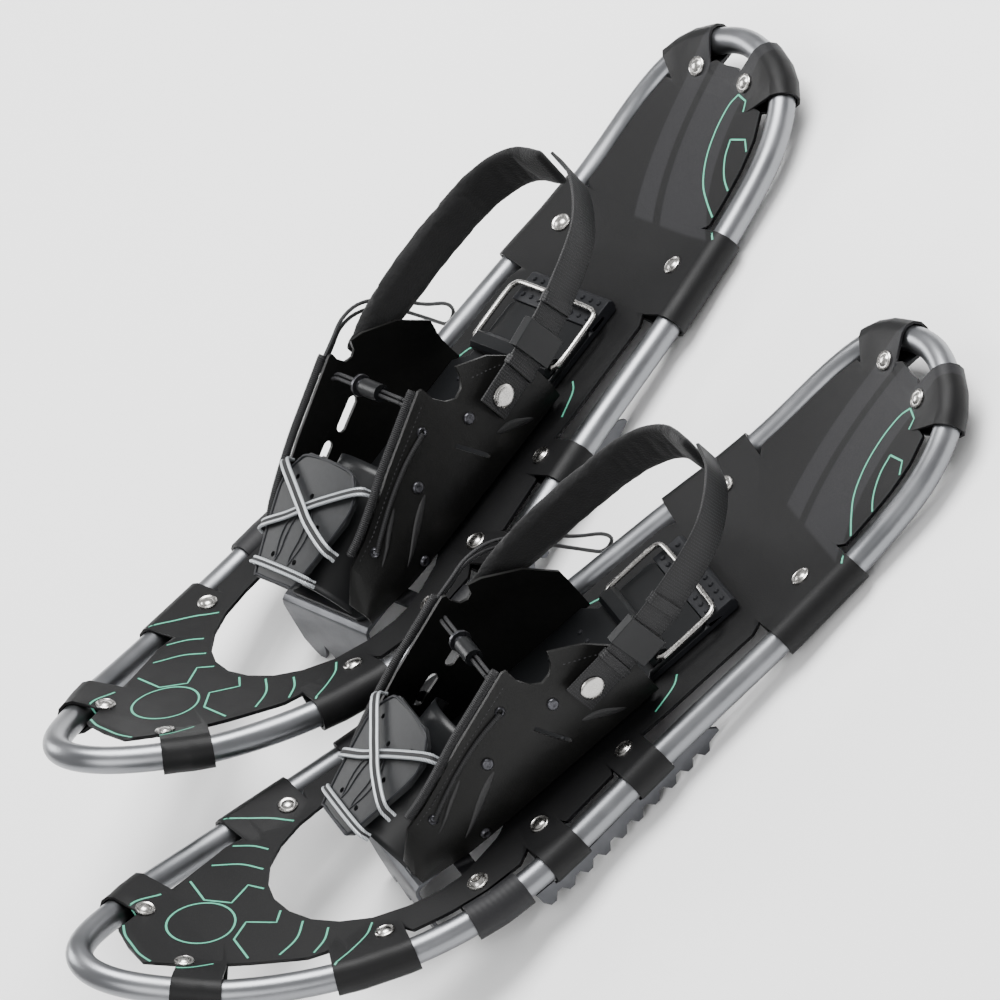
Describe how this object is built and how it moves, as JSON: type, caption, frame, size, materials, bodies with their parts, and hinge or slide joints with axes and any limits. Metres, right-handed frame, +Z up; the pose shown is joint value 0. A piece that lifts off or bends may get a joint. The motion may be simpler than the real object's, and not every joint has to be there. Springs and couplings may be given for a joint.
{
  "type": "snowshoe pair",
  "caption": "Pair of snowshoes with bent tube frames, black decks, pivoting bindings, heel straps and steel crampons.",
  "frame": {"origin": "on the floor, at the middle of the pair's footprint", "axes": "+Z up, +Y from the nose to the tail of the near shoe, +X towards that shoe's buckle side"},
  "size_m": [0.4704, 0.6144, 0.1411],
  "materials": {
    "tube": "bead-blasted and clear anodised bent tube, satin grey",
    "deck_sheet": "coated deck fabric, fine leathery grain, near black",
    "crampon_steel": "hardened sheet steel, dark zinc finish",
    "plated_steel": "nickel plated wire and fasteners, bright",
    "harness_sheet": "grained moulded sheet, black",
    "moulding": "moulded nylon, fine matt texture, black",
    "toe_rubber": "soft moulded rubber, charcoal grey",
    "heel_rubber": "soft moulded rubber, black",
    "piping": "ribbed woven piping over a cord core",
    "webbing": "flat woven nylon webbing",
    "pad_fabric": "brushed knit over foam, bound edges",
    "cord": "round braided polyester cord",
    "lace": "flat tubular lace, pale grey with dark edges"
  },
  "bodies": {
    "near_snowshoe": {"near_frame_tube": "tube", "near_deck": "deck_sheet", "near_outer_rail": "crampon_steel", "near_inner_rail": "crampon_steel", "near_pivot_strap": "moulding", "near_outer_pivot_bolt": "plated_steel", "near_inner_pivot_bolt": "plated_steel"},
    "near_binding": {"near_footbed": "moulding", "near_heel_pad": "heel_rubber", "near_toe_crampon": "crampon_steel", "near_outer_wing": "harness_sheet", "near_inner_wing": "harness_sheet", "near_outer_hem": "piping", "near_inner_hem": "piping", "near_toe_cup": "moulding", "near_toe_plate": "toe_rubber", "near_lace_low": "lace", "near_lace_high": "lace", "near_toe_lace": "lace", "near_drawcord": "cord", "near_cord_loop": "cord", "near_lifter_clip": "moulding"},
    "near_lifter": {"near_heel_lifter": "plated_steel"},
    "near_strap": {"near_heel_strap": "webbing", "near_heel_strap_pad": "pad_fabric", "near_outer_strap_rivet": "plated_steel", "near_inner_strap_rivet": "plated_steel", "near_strap_buckle": "moulding"},
    "near_lock": {"near_cord_lock": "moulding"},
    "near_button": {"near_lock_button": "moulding"},
    "far_snowshoe": {"far_frame_tube": "tube", "far_deck": "deck_sheet", "far_outer_rail": "crampon_steel", "far_inner_rail": "crampon_steel", "far_pivot_strap": "moulding", "far_outer_pivot_bolt": "plated_steel", "far_inner_pivot_bolt": "plated_steel"},
    "far_binding": {"far_footbed": "moulding", "far_heel_pad": "heel_rubber", "far_toe_crampon": "crampon_steel", "far_outer_wing": "harness_sheet", "far_inner_wing": "harness_sheet", "far_outer_hem": "piping", "far_inner_hem": "piping", "far_toe_cup": "moulding", "far_toe_plate": "toe_rubber", "far_lace_low": "lace", "far_lace_high": "lace", "far_toe_lace": "lace", "far_drawcord": "cord", "far_cord_loop": "cord", "far_lifter_clip": "moulding"},
    "far_lifter": {"far_heel_lifter": "plated_steel"},
    "far_strap": {"far_heel_strap": "webbing", "far_heel_strap_pad": "pad_fabric", "far_outer_strap_rivet": "plated_steel", "far_inner_strap_rivet": "plated_steel", "far_strap_buckle": "moulding"},
    "far_lock": {"far_cord_lock": "moulding"},
    "far_button": {"far_lock_button": "moulding"}
  },
  "joints": [
    {"name": "near_toe_pivot", "type": "hinge", "parent": "near_snowshoe", "child": "near_binding", "pos_m": [0.13264, -0.11471, 0.03402], "axis": [1, 0, 0], "range_deg": [0, 60]},
    {"name": "near_lifter_hinge", "type": "hinge", "parent": "near_binding", "child": "near_lifter", "pos_m": [0.13264, 0.03877, 0.03636], "axis": [1, 0, 0], "range_deg": [0, 95]},
    {"name": "near_strap_swing", "type": "hinge", "parent": "near_binding", "child": "near_strap", "pos_m": [0.18714, 0.00378, 0.06846], "axis": [0.9881, 0.0635, -0.1404], "range_deg": [-10, 45]},
    {"name": "near_lock_slide", "type": "slide", "parent": "near_binding", "child": "near_lock", "axis": [1, 0, 0], "range_m": [-0.012, 0.012]},
    {"name": "near_button_press", "type": "slide", "parent": "near_lock", "child": "near_button", "axis": [1, 0, 0], "range_m": [0, 0.003], "stiffness_N_per_m": 150, "springref_m": -0.004},
    {"name": "far_toe_pivot", "type": "hinge", "parent": "far_snowshoe", "child": "far_binding", "pos_m": [-0.06916, -0.06227, 0.03402], "axis": [0.9516, 0.3074, 0], "range_deg": [0, 60]},
    {"name": "far_lifter_hinge", "type": "hinge", "parent": "far_binding", "child": "far_lifter", "pos_m": [-0.11634, 0.08378, 0.03636], "axis": [0.9516, 0.3074, 0], "range_deg": [0, 95]},
    {"name": "far_strap_swing", "type": "hinge", "parent": "far_binding", "child": "far_strap", "pos_m": [-0.05372, 0.06723, 0.06846], "axis": [0.9207, 0.3641, -0.1404], "range_deg": [-10, 45]},
    {"name": "far_lock_slide", "type": "slide", "parent": "far_binding", "child": "far_lock", "axis": [0.9516, 0.3074, 0], "range_m": [-0.012, 0.012]},
    {"name": "far_button_press", "type": "slide", "parent": "far_lock", "child": "far_button", "axis": [0.9516, 0.3074, 0], "range_m": [0, 0.003], "stiffness_N_per_m": 150, "springref_m": -0.004},
    {"name": "far_shoe_lift", "type": "slide", "parent": "near_snowshoe", "child": "far_snowshoe", "axis": [0, 0, 1], "range_m": [0, 0.3]}
  ]
}
